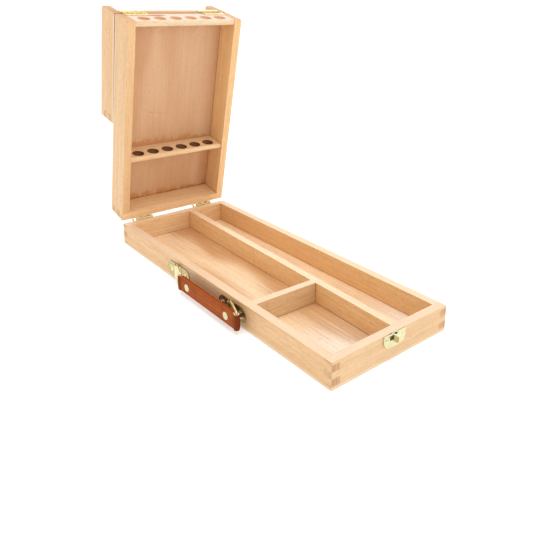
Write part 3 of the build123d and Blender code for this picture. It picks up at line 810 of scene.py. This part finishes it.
def brass(name, body_colour, look, line_strength, tarnish_strength):
    """Plated brass: cloudy polish, fine rolling lines on pressed sheet, tarnish in patches, and a painted
    highlight on the handle plates' channels.
    """
    graph = Graph(name)
    place = graph.node("ShaderNodeTexCoord").outputs["Object"]
    cloud = graph.noise(place, (160.0, 160.0, 160.0), 3.0, 0.55)
    lines = graph.noise(place, (90.0, 90.0, 5200.0))
    specks = graph.ease(graph.noise(place, (1900.0, 1900.0, 1900.0)), 0.62, 0.75)
    patches = graph.noise(place, (420.0, 420.0, 420.0))
    tarnish = graph.ease(patches, 0.48, 0.62) * tarnish_strength + specks * 0.05
    if name == "handle_brass":
        # Painted highlight on the channels that rise past the plates' front
        channel_highlight_mask = graph.ease(graph.split(place)[1], PLATE_FRONT - 0.0002, PLATE_FRONT - 0.0008)
        body_colour = graph.mix(channel_highlight_mask, body_colour, look.channel_highlight)
    relief = cloud * 0.5 + lines * line_strength - specks * 0.3
    return graph.finish(
        {
            "Base Color": graph.mix(tarnish, body_colour, look.tarnish),
            "Metallic": 1.0,
            "Roughness": look.roughness + cloud * 0.1 + specks * 0.2,
            "Normal": graph.bump(relief, BRASS_DEPTH, graph.worn_edges(0.0001)),
        }
    )


class BRUSHBOX_OT_brass(bpy.types.Operator):
    """Gives the plates, hinges, catch, rings, screws and nails their brass"""

    bl_idname = "brushbox.brass"
    bl_label = "Brass fittings"

    def execute(self, context):
        look = context.scene.brushbox_brass
        for name, (colour_name, line_strength, tarnish_strength, node_names) in BRASS.items():
            material = brass(name, getattr(look, colour_name), look, line_strength, tarnish_strength)
            for node_name in node_names:
                dress(node_name, material)
        return {"FINISHED"}


# ---- Leather strap ----

STRAP_LOW, STRAP_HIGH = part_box("leather_strap")
STRAP_MIDDLE = (STRAP_LOW + STRAP_HIGH) / 2
STRAP_HEIGHT = STRAP_HIGH.z - STRAP_LOW.z

# Between the bars of the two rings, the loops' outer radius, how far from the bar the loop closes, half the
# strap's thickness, and between the rivets
RING_BAR_GAP = 0.108
LOOP_OUTER = 0.0032
LOOP_NECK = 0.0014
BODY_HALF = 0.0021
RIVET_GAP = 0.075

# The strap's points along it and round it, how square its corners are, its pressed crease and its swelling
STRAP_ROWS = 900
STRAP_SIDES = 72
CORNER_POWER = 0.16
CREASE_DEPTH = 0.00028
CREASE_WIDTH = 0.00032
BELLY = 0.00022

# How deep a stitch and a rivet press the leather in, and how far up and down, and along for the rivet
STITCH_DIP = 0.00022
STITCH_DIP_UP = 0.0006
RIVET_DIP = 0.0005
RIVET_DIP_UP = 0.0052
RIVET_DIP_ALONG = 0.0046

# The thread: its radius, how high a stitch arches, how deep its ends sink, how far it slants to each end,
# its reach as a share of the pitch, and its points along and round
THREAD_RADIUS = 0.00030
STITCH_ARCH = 0.00022
STITCH_SINK = 0.00012
STITCH_SLANT = 0.00008
STITCH_REACH = 0.30
STITCH_ROWS = 11
STITCH_SIDES = 8


def strap_centreline(layer, count):
    """The middle of the leather in plan, as a closed loop of points evenly spaced along its length.

    Between the bars it lies about half a layer from the middle plane. Round each bar it is a circle.
    Where they meet, the distance from the middle plane is the sixth root of the sum of their sixth
    powers."""
    half = RING_BAR_GAP / 2
    radius = LOOP_OUTER - layer / 2
    flat = BODY_HALF - layer / 2
    x = np.linspace(-half, half, 1500)
    from_bar = half - np.abs(x)
    circle = np.sqrt(np.clip(radius**2 - from_bar**2, 0, None))
    fade = np.clip(from_bar / LOOP_NECK, 0, 1)
    straight = flat * fade * fade * (3 - 2 * fade)
    away = (circle**6 + straight**6) ** (1 / 6)
    turn = np.linspace(-np.pi / 2, np.pi / 2, 400)[1:-1]
    right = np.stack([half + radius * np.cos(turn), radius * np.sin(turn)], 1)
    front = np.stack([x, -away], 1)
    back = np.stack([x[::-1], away], 1)
    loop = np.concatenate([front, right, back, -right])
    step = np.linalg.norm(np.diff(loop, axis=0, append=loop[:1]), axis=1)
    run = np.concatenate([[0], np.cumsum(step)])
    wanted = np.linspace(0, run[-1], count, endpoint=False)
    closed = np.concatenate([loop, loop[:1]])
    return np.stack([np.interp(wanted, run, closed[:, k]) for k in (0, 1)], 1)


def strap_section(layer, crease, count):
    """The leather's section as distances (out, up): a rectangle with rounded corners.

    The distance out is the cosine of an angle raised to a small power, which fills the corners, and the
    distance up follows the angle. The outer face swells as a parabola, and two pressed creases, each a
    bell curve, run a little inside its edges."""
    t = np.linspace(0, 2 * np.pi, count, endpoint=False)
    out = np.sign(np.cos(t)) * np.abs(np.cos(t)) ** CORNER_POWER * layer / 2
    spread = np.arcsin(np.sin(t)) / (np.pi / 2)
    up = np.sign(spread) * (1 - (1 - np.abs(spread)) ** 1.15) * STRAP_HEIGHT / 2
    near_edge = STRAP_HEIGHT / 2 - np.abs(up)
    groove = CREASE_DEPTH * np.exp(-(((near_edge - crease) / CREASE_WIDTH) ** 2))
    belly = BELLY * np.clip(1 - (np.abs(up) / (STRAP_HEIGHT / 2)) ** 2, 0, 1)
    return out + np.where(out > 0, belly - groove, 0.0), up


def grid_mesh(name, points, closed=True):
    """A mesh from a grid of points. Its rows and its columns both close on themselves, or neither does."""
    rows, columns = points.shape[:2]
    u = np.arange(rows if closed else rows - 1)
    v = np.arange(columns if closed else columns - 1)
    i, j = np.meshgrid(u, v, indexing="ij")
    a = i * columns + j
    b = (i + 1) % rows * columns + j
    c = (i + 1) % rows * columns + (j + 1) % columns
    d = i * columns + (j + 1) % columns
    faces = np.stack([a, b, c, d], -1).reshape(-1, 4)
    return piece_from(name, points.reshape(-1, 3), faces)


def piece_from(name, vertices, faces):
    """An object whose place is in its mesh, smooth, with its faces pointing out."""
    mesh = bpy.data.meshes.new(name)
    mesh.vertices.add(len(vertices))
    mesh.vertices.foreach_set("co", np.asarray(vertices, np.float32).ravel())
    mesh.loops.add(faces.size)
    mesh.loops.foreach_set("vertex_index", faces.ravel().astype(np.int32))
    mesh.polygons.add(len(faces))
    mesh.polygons.foreach_set("loop_start", np.arange(len(faces), dtype=np.int32) * faces.shape[1])
    mesh.polygons.foreach_set("use_smooth", np.ones(len(faces), bool))
    mesh.update(calc_edges=True)
    mesh.validate()
    piece = bpy.data.objects.new(name, mesh)
    bpy.context.scene.collection.objects.link(piece)
    return piece


def strap_surface(leather):
    """Points of the strap: the section is carried round the centreline, facing out from it.

    The thread pulls the outer face in at each stitch, and each rivet presses it in. Both dips are bell
    curves along the strap and across it."""
    path = strap_centreline(leather.layer, STRAP_ROWS)
    ahead = np.roll(path, -1, axis=0) - np.roll(path, 1, axis=0)
    ahead /= np.linalg.norm(ahead, axis=1)[:, None]
    outward = np.stack([ahead[:, 1], -ahead[:, 0]], 1)
    out, up = strap_section(leather.layer, leather.crease, STRAP_SIDES)
    x = path[:, 0, None] + outward[:, 0, None] * out
    y = path[:, 1, None] + outward[:, 1, None] * out
    z = np.broadcast_to(up, x.shape)
    pitch = leather.stitch_row / (leather.stitches - 1)
    phase = (x + leather.stitch_row / 2) / pitch
    in_row = np.abs(x) < leather.stitch_row / 2 + pitch / 3
    at_stitch = np.exp(-(((phase - np.round(phase)) / 0.33) ** 2)) * in_row
    at_rivet = np.exp(-(((np.abs(x) - RIVET_GAP / 2) / RIVET_DIP_ALONG) ** 2))
    sewn = STITCH_DIP * at_stitch * np.exp(-((z / STITCH_DIP_UP) ** 2)) * (out > 0)
    pressed = RIVET_DIP * at_rivet * np.exp(-((z / RIVET_DIP_UP) ** 2)) * (out > 0)
    y = y - outward[:, 1, None] * sewn - outward[:, 1, None] * pressed
    return np.stack([x, y, z], -1) + np.array(STRAP_MIDDLE)


def strap_leather(leather):
    """Smooth dyed leather with a fine pebble, darker in creases, darker with painted shade round the loops'
    folds, and paler where it is cut.

    The loop nearer the catch is darker all over with painted shade, where it turns away from the light."""
    graph = Graph("strap_leather")
    place = graph.node("ShaderNodeTexCoord").outputs["Object"]
    x, _, z = graph.split(place)
    from_middle = abs(z - STRAP_MIDDLE.z)
    half_height = STRAP_HEIGHT / 2
    pebble_inputs = {"Vector": place, "Scale": 1500.0, "Randomness": 1.0}
    cells = graph.node("ShaderNodeTexVoronoi", {"feature": "DISTANCE_TO_EDGE"}, pebble_inputs)
    pebble = graph.ease(Value(graph, cells.outputs[0]), 0.0, 0.12)
    cloud = graph.noise(place, (70.0, 70.0, 110.0), 4.0, 0.6)
    wrinkle = graph.noise(place, (700.0, 500.0, 160.0), 3.0, 0.6)
    near_bar = abs(abs(x - STRAP_MIDDLE.x) - RING_BAR_GAP / 2)
    fold = graph.ease(near_bar, 0.0075, 0.0012)
    loop_end = graph.ease(near_bar, 0.0042, 0.0034)
    crease = graph.ease(abs(from_middle - (half_height - leather.crease)), 0.0007, 0.0001)
    base = graph.mix(graph.ease(cloud, 0.3, 0.75) * 0.5, leather.tan, leather.dark)
    # Darker in the pressed creases, and round the ring bars where the loops turn: wrinkles with painted
    # shade
    base = graph.mix(crease * 0.35 + fold * (0.3 + wrinkle * 0.5), base, leather.dark)
    # Painted shade over the loop nearer the catch
    right_loop_painted_shade = graph.ease(x - STRAP_MIDDLE.x, RING_BAR_GAP / 2 + 0.0002, RING_BAR_GAP / 2 + 0.0022)
    base = graph.mix(right_loop_painted_shade * 0.8, base, leather.dark)
    base = graph.mix((1 - pebble) * 0.25, base, leather.dark)
    cut_edge = graph.ease(from_middle, half_height - 0.0005, half_height - 0.0001)
    base = graph.mix(cut_edge * (0.35 + cloud * 0.5), base, leather.raw)
    base = graph.mix(cut_edge * loop_end * 0.9, base, leather.core)
    relief = pebble * 0.55 + cloud * 0.5 + fold * wrinkle * 0.9 - crease * 0.4
    return graph.finish(
        {
            "Base Color": base,
            "Roughness": 0.46 + cloud * 0.16 + cut_edge * 0.25,
            "Normal": graph.bump(relief, 0.0001),
            "Specular IOR Level": 0.06,
        }
    )


def strap_thread(leather):
    """Waxed thread with a fine twist."""
    graph = Graph("strap_thread")
    place = graph.node("ShaderNodeTexCoord").outputs["Object"]
    x, _, z = graph.split(place)
    twist = ((x + z * 1.6) * 15000.0).math("SINE") * 0.5 + 0.5
    wax = graph.noise(place, (2500.0, 2500.0, 2500.0))
    skin = graph.mix(twist * 0.45 + wax * 0.2, leather.thread, leather.dark)
    bump = graph.bump(twist, 0.00006)
    return graph.finish({"Base Color": skin, "Roughness": 0.55 + wax * 0.2, "Normal": bump})


class BRUSHBOX_OT_strap(bpy.types.Operator):
    """Makes the strap: one strip of leather folded round both ring bars and closed on itself"""

    bl_idname = "brushbox.strap"
    bl_label = "Leather strap"

    def execute(self, context):
        leather = context.scene.brushbox_leather
        strap = grid_mesh("strap_leather", strap_surface(leather))
        strap.data.materials.append(strap_leather(leather))
        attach(strap, "strap")
        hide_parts("leather_strap")
        return {"FINISHED"}


def stitch_points(x, y, side, leather):
    """One stitch as a grid: a thread that rises from its hole, lies on the leather and goes down again.

    Its middle runs along a low parabola, and its section is a circle that narrows at both ends."""
    pitch = leather.stitch_row / (leather.stitches - 1)
    along = np.linspace(-1, 1, STITCH_ROWS)[:, None]
    turn = np.linspace(0, 2 * np.pi, STITCH_SIDES, endpoint=False)
    arch = STITCH_ARCH * (1 - along**2) - STITCH_SINK
    radius = THREAD_RADIUS * np.sqrt(np.clip(1 - along**4, 0.02, 1))
    px = np.broadcast_to(x + along * pitch * STITCH_REACH, (STITCH_ROWS, STITCH_SIDES))
    py = y + side * (arch + radius * np.cos(turn))
    pz = STRAP_MIDDLE.z + radius * np.sin(turn) + along * STITCH_SLANT
    return np.stack([px, py, pz], -1)


def strip_of_grids(name, grids):
    """One mesh of many tubes of eight sides, each a grid closed round itself and capped at both ends."""
    vertices = []
    faces = []
    for grid in grids:
        rows, columns = grid.shape[:2]
        start = sum(len(v) for v in vertices)
        i, j = np.meshgrid(np.arange(rows - 1), np.arange(columns), indexing="ij")
        a = i * columns + j
        b = i * columns + (j + 1) % columns
        quads = np.stack([a, b, b + columns, a + columns], -1)
        faces.append(quads.reshape(-1, 4) + start)
        for row, order in ((0, -1), (rows - 1, 1)):
            ring = row * columns + np.arange(columns)[::order] + start
            faces.append(np.stack([ring[[0, 1, 2, 3]], ring[[3, 4, 5, 0]], ring[[5, 6, 7, 0]]]))
        vertices.append(grid.reshape(-1, 3))
    return piece_from(name, np.concatenate(vertices), np.concatenate(faces))


class BRUSHBOX_OT_stitches(bpy.types.Operator):
    """Sews the row of stitches between the rivets, on the strap's front and back"""

    bl_idname = "brushbox.stitches"
    bl_label = "Strap stitches"

    def execute(self, context):
        leather = context.scene.brushbox_leather
        half = leather.stitch_row / 2
        grids = []
        for x in np.linspace(-half, half, leather.stitches):
            for side in (-1, 1):
                y = STRAP_MIDDLE.y + side * (BODY_HALF + STITCH_SINK)
                grids.append(stitch_points(STRAP_MIDDLE.x + x, y, side, leather))
        stitches = strip_of_grids("strap_stitches", grids)
        stitches.data.materials.append(strap_thread(leather))
        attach(stitches, "strap")
        return {"FINISHED"}


# ---- Studio ----

FLOOR_REACH = 30.0
FLOOR_LEVEL = -0.0002
FLOOR_GLOW = 0.25
SENSOR = 36.0
CLIP = (0.01, 60.0)
LIGHT_AIM = Vector((-0.03, 0.0, 0.08))

# Each soft light: its place and its size in metres
SOFTBOXES = {
    "key": ((1.3, 0.25, 0.75), 1.0),
    "fill": ((-0.3, -1.3, 1.25), 1.8),
    "top": ((0.1, -0.1, 1.7), 1.3),
}


def floor_surface():
    """The floor as a flat square grid of points, just under the box."""
    side = np.linspace(-FLOOR_REACH, FLOOR_REACH, 9)
    x, y = np.meshgrid(side, side, indexing="ij")
    return np.stack([x, y, np.full_like(x, FLOOR_LEVEL)], -1)


def floor_paper():
    """Matt white studio paper with a very slight tooth, lit from within as a light table is."""
    graph = Graph("studio_paper")
    place = graph.node("ShaderNodeTexCoord").outputs["Object"]
    tooth = graph.noise(place, (900.0, 900.0, 900.0))
    skin = graph.mix(tooth * 0.02, (0.96, 0.96, 0.96), (0.9, 0.9, 0.9))
    return graph.finish(
        {
            "Base Color": skin,
            "Roughness": 0.9,
            "Specular IOR Level": 0.1,
            "Emission Color": (1.0, 1.0, 1.0, 1.0),
            "Emission Strength": FLOOR_GLOW,
        }
    )


def add_camera(stage):
    """The camera, aimed by its turn, tilt and roll."""
    camera = bpy.data.cameras.new("camera")
    camera.sensor_width = SENSOR
    camera.lens = stage.lens
    camera.shift_x = stage.shift_x
    camera.shift_y = stage.shift_y
    camera.clip_start, camera.clip_end = CLIP
    seat = bpy.data.objects.new("camera", camera)
    aim = Euler((math.pi / 2 - stage.tilt, 0.0, stage.azimuth)).to_matrix().to_4x4()
    seat.matrix_world = Matrix.Translation(stage.place) @ aim @ Matrix.Rotation(stage.roll, 4, "Z")
    bpy.context.scene.collection.objects.link(seat)
    bpy.context.scene.camera = seat


def add_softbox(name, place, size, watts):
    """A square soft light that looks at the box."""
    light = bpy.data.lights.new(name, "AREA")
    light.size = size
    light.energy = watts
    seat = bpy.data.objects.new(name, light)
    seat.location = place
    aim = LIGHT_AIM - Vector(place)
    seat.rotation_euler = aim.to_track_quat("-Z", "Y").to_euler()
    bpy.context.scene.collection.objects.link(seat)


def add_sky(stage):
    """A white tent round the box: brightest behind it and low down, a little darker at the open side."""
    world = bpy.data.worlds.new("studio")
    graph = Graph("studio", world)
    x, y, z = graph.split(graph.node("ShaderNodeTexCoord").outputs["Generated"])
    open_side = graph.ease(x * 0.42 - y * 0.9, 0.25, 0.95) * graph.ease(z, 0.75, 0.3)
    back_wall = graph.ease(y * 0.85 - x * 0.2, 0.05, 0.8) * graph.ease(z, 0.9, 0.2)
    horizon = graph.ease(z, 0.4, 0.2)
    light = stage.sky + back_wall * stage.back_wall + horizon * stage.horizon - open_side * stage.open_side
    inputs = {"Color": graph.join(light, light, light), "Strength": 1.0}
    shader = graph.node("ShaderNodeBackground", None, inputs)
    graph.node("ShaderNodeOutputWorld", None, {"Surface": shader.outputs[0]})
    bpy.context.scene.world = world


class BRUSHBOX_OT_studio(bpy.types.Operator):
    """Sets up the paper floor, the white tent, the soft lights and the camera"""

    bl_idname = "brushbox.studio"
    bl_label = "Studio"

    def execute(self, context):
        stage = context.scene.brushbox_stage
        paper = grid_mesh("studio_floor", floor_surface(), closed=False)
        paper.data.materials.append(floor_paper())
        add_sky(stage)
        for name, (place, size) in SOFTBOXES.items():
            add_softbox(name, place, size, getattr(stage, name))
        add_camera(stage)
        context.scene.view_settings.view_transform = "Standard"
        return {"FINISHED"}


# ---- Add-on ----

GROUPS = {
    "brushbox_wood": BrushBoxWood,
    "brushbox_plywood": BrushBoxPlywood,
    "brushbox_brass": BrushBoxBrass,
    "brushbox_leather": BrushBoxLeather,
    "brushbox_stage": BrushBoxStage,
}
OPERATORS = (
    BRUSHBOX_OT_boards,
    BRUSHBOX_OT_panels,
    BRUSHBOX_OT_brass,
    BRUSHBOX_OT_strap,
    BRUSHBOX_OT_stitches,
    BRUSHBOX_OT_studio,
)


class BRUSHBOX_PT_panel(bpy.types.Panel):
    """Lists the pieces of the brush box and the settings of their finishes"""

    bl_idname = "BRUSHBOX_PT_panel"
    bl_label = "Brush Box"
    bl_space_type = "VIEW_3D"
    bl_region_type = "UI"
    bl_category = "Brush Box"

    def draw(self, context):
        for operator in OPERATORS:
            self.layout.operator(operator.bl_idname)
        for group_name, group in GROUPS.items():
            box = self.layout.box()
            box.label(text=group.__doc__)
            for field in group.__annotations__:
                box.prop(getattr(context.scene, group_name), field)


def register():
    for group_name, group in GROUPS.items():
        bpy.utils.register_class(group)
        setattr(bpy.types.Scene, group_name, PointerProperty(type=group))
    for operator in OPERATORS:
        bpy.utils.register_class(operator)
    bpy.utils.register_class(BRUSHBOX_PT_panel)


def unregister():
    bpy.utils.unregister_class(BRUSHBOX_PT_panel)
    for operator in reversed(OPERATORS):
        bpy.utils.unregister_class(operator)
    for group_name, group in GROUPS.items():
        delattr(bpy.types.Scene, group_name)
        bpy.utils.unregister_class(group)


def main():
    register()
    for operator in OPERATORS:
        group, name = operator.bl_idname.split(".")
        getattr(getattr(bpy.ops, group), name)()


if __name__ == "__main__":
    main()
